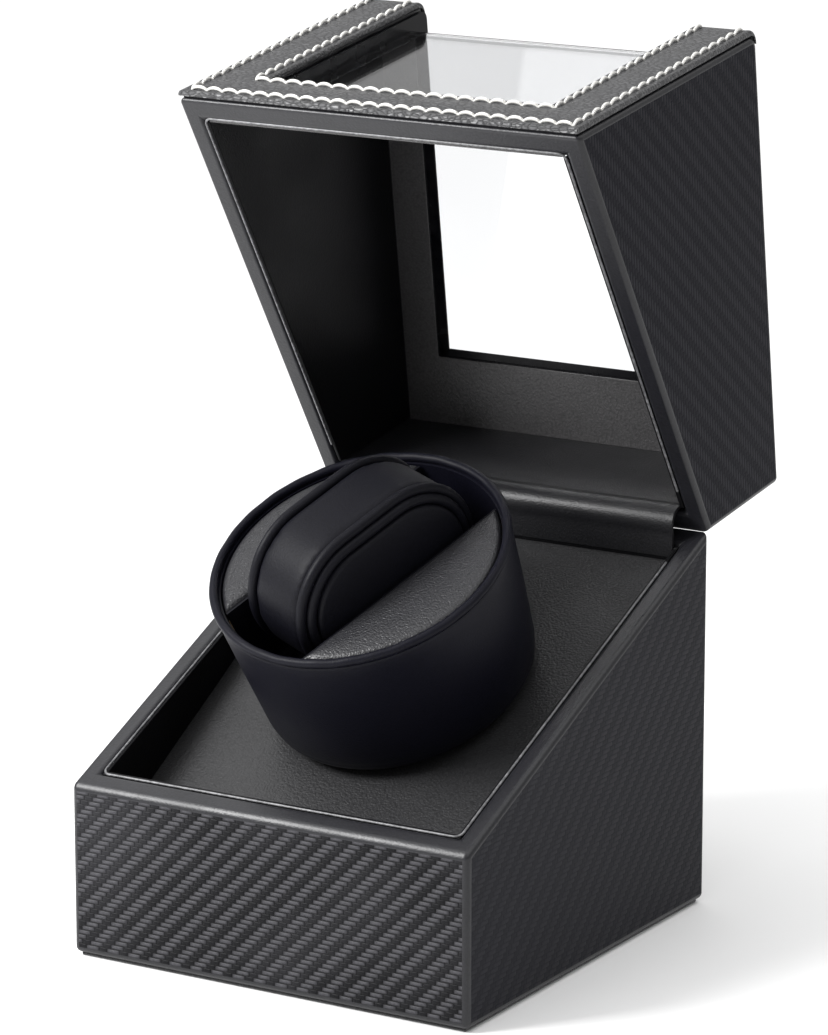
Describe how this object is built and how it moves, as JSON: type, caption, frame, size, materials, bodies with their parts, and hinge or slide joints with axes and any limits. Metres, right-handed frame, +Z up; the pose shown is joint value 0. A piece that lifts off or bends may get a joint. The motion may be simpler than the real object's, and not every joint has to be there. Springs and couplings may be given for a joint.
{
  "type": "watch winder box",
  "caption": "Slant-cut display box with a hinged windowed lid and a motor-turned barrel that holds one watch cushion.",
  "frame": {"origin": "centre of the box's underside, on the surface it stands on", "axes": "+Z up; +X to the right seen from the front; -Y towards the low front wall, +Y towards the hinged back"},
  "size_m": [0.12, 0.1666, 0.2355],
  "materials": {
    "carbon_leather": "PU leather with an embossed carbon-fibre twill, satin, over fibreboard",
    "smooth_leather": "smooth black PU leather with a fine grain, satin",
    "pebble_leather": "pebble-grain black PU leather with off-white saddle stitching",
    "barrel_leather": "smooth blue-black PU leather, matte",
    "cushion_leather": "soft black PU leather over foam, satin",
    "felt": "black felt",
    "board": "bare medium-density fibreboard",
    "steel": "zinc-plated or bright steel",
    "brass": "turned brass",
    "magnet": "nickel-plated magnet",
    "nylon": "natural white nylon",
    "black_plastic": "fine-textured black plastic",
    "rocker_plastic": "polished black plastic",
    "circuit_board": "green solder mask",
    "acrylic": "clear polished acrylic"
  },
  "bodies": {
    "base": {"underside_felt": "felt", "bottom_board": "board", "base_front_wall": "carbon_leather", "base_back_wall": "carbon_leather", "base_left_wall": "carbon_leather", "base_right_wall": "carbon_leather", "base_front_lining": "smooth_leather", "base_back_lining": "smooth_leather", "base_side_linings": "smooth_leather", "base_magnets": "magnet", "deck_panel": "smooth_leather", "deck_battens": "board", "drive_top_plate": "steel", "drive_lower_plate": "steel", "drive_posts": "brass", "bracket_screws": "steel", "upper_bush": "brass", "lower_bush": "brass", "motor_gearbox": "steel", "motor_can": "steel", "motor_screws": "steel", "control_board": "circuit_board", "control_plate": "black_plastic", "control_plate_screws": "steel", "power_inlet": "black_plastic", "power_inlet_pin": "steel", "switch_housing": "black_plastic", "selector_body": "steel", "hinge_base_leaves": "brass", "hinge_pins": "steel"},
    "lid": {"lid_left_wall": "carbon_leather", "lid_right_wall": "carbon_leather", "lid_back_wall": "carbon_leather", "lid_front_bar": "carbon_leather", "lid_posts": "smooth_leather", "lid_rails": "smooth_leather", "lid_rear_bar": "smooth_leather", "facing_sheet": "pebble_leather", "window_pane": "acrylic", "lid_side_linings": "smooth_leather", "lid_back_lining": "smooth_leather", "lid_magnets": "magnet", "hinge_lid_leaves": "brass"},
    "barrel": {"barrel_cup": "barrel_leather", "rim_piping": "barrel_leather", "shoulder_blocks": "board", "shoulder_pads": "barrel_leather", "slot_floor": "cushion_leather", "barrel_hub": "nylon", "hub_screws": "steel", "spindle": "steel", "spindle_gear": "nylon", "retaining_clip": "steel"},
    "cushion": {"cushion_core": "cushion_leather", "cushion_side_discs": "cushion_leather"},
    "motor_rotor": {"motor_shaft": "steel", "motor_pinion": "brass"},
    "selector": {"selector_shaft": "steel", "selector_knob": "black_plastic"},
    "rocker": {"power_rocker": "rocker_plastic"}
  },
  "joints": [
    {"name": "lid_hinge", "type": "hinge", "parent": "base", "child": "lid", "pos_m": [0, 0.063, 0.103], "axis": [1, 0, 0], "range_deg": [0, 82]},
    {"name": "barrel_spin", "type": "hinge", "parent": "base", "child": "barrel", "pos_m": [0, 0.0056, 0.06656], "axis": [0, -0.5, 0.866], "continuous": true},
    {"name": "pinion_spin", "type": "hinge", "parent": "base", "child": "motor_rotor", "pos_m": [-0.024, 0.0056, 0.06656], "axis": [0, -0.5, 0.866], "continuous": true},
    {"name": "cushion_slide", "type": "slide", "parent": "barrel", "child": "cushion", "axis": [0, 0.5, -0.866], "range_m": [-0.05, 0]},
    {"name": "selector_turn", "type": "hinge", "parent": "base", "child": "selector", "pos_m": [0.026, 0.063, 0.031], "axis": [0, 1, 0], "range_deg": [0, 270]},
    {"name": "rocker_tilt", "type": "hinge", "parent": "base", "child": "rocker", "pos_m": [0, 0.0615, 0.031], "axis": [0, 0, 1], "range_deg": [0, 16]}
  ],
  "couplings": [
    {"joint": "pinion_spin", "follows": "barrel_spin", "ratio": -3}
  ]
}
